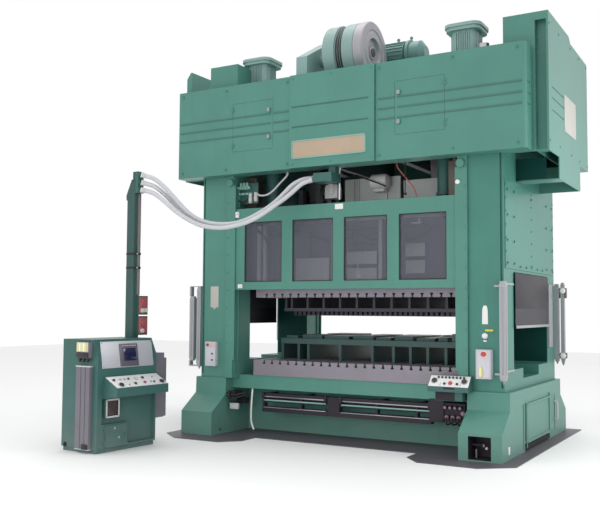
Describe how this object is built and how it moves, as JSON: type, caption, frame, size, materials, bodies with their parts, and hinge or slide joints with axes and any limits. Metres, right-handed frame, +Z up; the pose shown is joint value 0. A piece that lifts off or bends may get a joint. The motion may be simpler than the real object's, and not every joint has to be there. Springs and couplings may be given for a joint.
{
  "type": "mechanical stamping press",
  "caption": "Straight-side mechanical stamping press with a geared crank drive, lifting guards, dies and a freestanding operator console.",
  "frame": {"origin": "on the floor, at the centre of the four anchor bolt holes under the feet", "axes": "+Z up, -Y towards the press's front, +X to the right seen from the front"},
  "size_m": [6.3972, 6.1882, 6.7985],
  "materials": {
    "press_green": "two-coat machinery enamel, satin",
    "cover_green": "machinery enamel on folded sheet",
    "dark_green": "machinery enamel, darker green",
    "machined_steel": "ground and oiled steel",
    "plate_steel": "machined and oiled plate",
    "dark_steel": "dark grey enamel",
    "gear_steel": "oiled gear steel",
    "bronze": "oiled bearing bronze",
    "light_grey": "light grey enamel",
    "silver": "anodised profile",
    "belt": "drive belt",
    "pane": "smoked guard pane",
    "button_black": "moulded button",
    "button_red": "moulded button",
    "conduit": "grey flexible conduit"
  },
  "bodies": {
    "press": {"floor_pan": "dark_steel", "bed": "press_green", "bolster": "plate_steel", "upright_left": "press_green", "upright_right": "press_green", "crown_frame": "press_green", "crown_cover_left": "cover_green", "crown_cover_center": "cover_green", "crown_cover_right": "cover_green", "crown_cover_rear": "cover_green", "end_hood_left": "cover_green", "end_hood_right": "cover_green", "tie_rods": "machined_steel", "roof_vents": "dark_green", "bearing_walls": "press_green", "gear_hood": "cover_green", "gibs": "bronze", "counterbalance_cylinders": "dark_green", "motor": "dark_green", "drive_belts": "belt", "lower_die": "dark_green", "guard_rails": "cover_green", "light_curtains": "silver", "die_rail": "dark_steel", "hydraulic_units": "dark_steel", "operator_panel": "dark_green", "stop_box": "light_grey", "console_cabinet": "dark_green", "console_side_box": "light_grey", "console_mast": "dark_green", "conduit_fittings": "dark_green", "conduit_1": "conduit", "conduit_2": "conduit", "conduit_3": "conduit"},
    "crankshaft": {"crankshaft": "machined_steel", "main_gear": "gear_steel"},
    "connections": {"connections": "gear_steel"},
    "idler": {"idler_gears": "gear_steel"},
    "drive_shaft": {"drive_shaft": "gear_steel", "clutch_brake": "light_grey"},
    "flywheel": {"flywheel": "cover_green"},
    "motor_pulley": {"motor_pulley": "gear_steel"},
    "slide": {"slide": "press_green", "slide_plate": "plate_steel", "upper_die": "dark_steel", "counterbalance_rods": "machined_steel"},
    "front_guard": {"front_guard": "cover_green", "front_guard_panes": "pane"},
    "rear_guard": {"rear_guard": "cover_green", "rear_guard_panes": "pane"},
    "side_guard_left": {"side_guard_left": "pane"},
    "side_guard_right": {"side_guard_right": "pane"},
    "crown_door_left": {"crown_door_left": "cover_green"},
    "crown_door_right": {"crown_door_right": "cover_green"},
    "console_door": {"console_door": "dark_green"},
    "panel_palm_left": {"panel_palm_left": "button_black"},
    "panel_palm_right": {"panel_palm_right": "button_black"},
    "console_palm_left": {"console_palm_left": "button_black"},
    "console_palm_right": {"console_palm_right": "button_black"},
    "stop_mushroom": {"stop_mushroom": "button_red"}
  },
  "joints": [
    {"name": "slide_stroke", "type": "slide", "parent": "press", "child": "slide", "axis": [0, 0, 1], "range_m": [-0.3, 0]},
    {"name": "crank_turn", "type": "hinge", "parent": "press", "child": "crankshaft", "pos_m": [0, 0, 4.98], "axis": [1, 0, 0], "range_deg": [-180, 0]},
    {"name": "connection_swing", "type": "hinge", "parent": "crankshaft", "child": "connections", "pos_m": [0, 0, 5.13], "axis": [1, 0, 0], "range_deg": [0, 180]},
    {"name": "idler_turn", "type": "hinge", "parent": "press", "child": "idler", "pos_m": [0, -0.5353, 5.57452], "axis": [1, 0, 0], "range_deg": [0, 540]},
    {"name": "drive_shaft_turn", "type": "hinge", "parent": "press", "child": "drive_shaft", "pos_m": [0, -0.57299, 6.29353], "axis": [1, 0, 0], "range_deg": [-1890, 0]},
    {"name": "flywheel_spin", "type": "hinge", "parent": "press", "child": "flywheel", "pos_m": [0, -0.57299, 6.29353], "axis": [1, 0, 0], "continuous": true},
    {"name": "motor_pulley_spin", "type": "hinge", "parent": "press", "child": "motor_pulley", "pos_m": [0, 0.3, 6.44], "axis": [1, 0, 0], "continuous": true},
    {"name": "front_guard_lift", "type": "slide", "parent": "press", "child": "front_guard", "axis": [0, 0, 1], "range_m": [-1.12, 0]},
    {"name": "rear_guard_lift", "type": "slide", "parent": "press", "child": "rear_guard", "axis": [0, 0, 1], "range_m": [-1.12, 0]},
    {"name": "side_guard_left_lift", "type": "slide", "parent": "press", "child": "side_guard_left", "axis": [0, 0, 1], "range_m": [-0.55, 0]},
    {"name": "side_guard_right_lift", "type": "slide", "parent": "press", "child": "side_guard_right", "axis": [0, 0, 1], "range_m": [-0.55, 0]},
    {"name": "crown_door_left_swing", "type": "hinge", "parent": "press", "child": "crown_door_left", "pos_m": [-1.847, -1.689, 5.024], "axis": [0, 0, -1], "range_deg": [0, 100]},
    {"name": "crown_door_right_swing", "type": "hinge", "parent": "press", "child": "crown_door_right", "pos_m": [1.828, -1.689, 5.024], "axis": [0, 0, 1], "range_deg": [0, 100]},
    {"name": "console_door_swing", "type": "hinge", "parent": "press", "child": "console_door", "pos_m": [-2.41498, -3.93298, 0.225], "axis": [0, 0, -1], "range_deg": [0, 110]},
    {"name": "panel_palm_left_press", "type": "slide", "parent": "press", "child": "panel_palm_left", "axis": [0, 0.731, -0.6824], "range_m": [0, 0.008], "stiffness_N_per_m": 600, "springref_m": -0.002},
    {"name": "panel_palm_right_press", "type": "slide", "parent": "press", "child": "panel_palm_right", "axis": [0, 0.731, -0.6824], "range_m": [0, 0.008], "stiffness_N_per_m": 600, "springref_m": -0.002},
    {"name": "console_palm_left_press", "type": "slide", "parent": "press", "child": "console_palm_left", "axis": [-0.4831, 0.0338, -0.8749], "range_m": [0, 0.008], "stiffness_N_per_m": 600, "springref_m": -0.002},
    {"name": "console_palm_right_press", "type": "slide", "parent": "press", "child": "console_palm_right", "axis": [-0.4831, 0.0338, -0.8749], "range_m": [0, 0.008], "stiffness_N_per_m": 600, "springref_m": -0.002},
    {"name": "stop_mushroom_press", "type": "slide", "parent": "press", "child": "stop_mushroom", "axis": [0, 1, 0], "range_m": [0, 0.008], "stiffness_N_per_m": 600, "springref_m": -0.002}
  ],
  "couplings": [
    {"joint": "crank_turn", "follows": "slide_stroke", "rad_per_m": 10.472},
    {"joint": "connection_swing", "follows": "slide_stroke", "rad_per_m": -10.472},
    {"joint": "idler_turn", "follows": "slide_stroke", "rad_per_m": -31.416},
    {"joint": "drive_shaft_turn", "follows": "slide_stroke", "rad_per_m": 109.96},
    {"joint": "motor_pulley_spin", "follows": "flywheel_spin", "ratio": 4.2273}
  ]
}
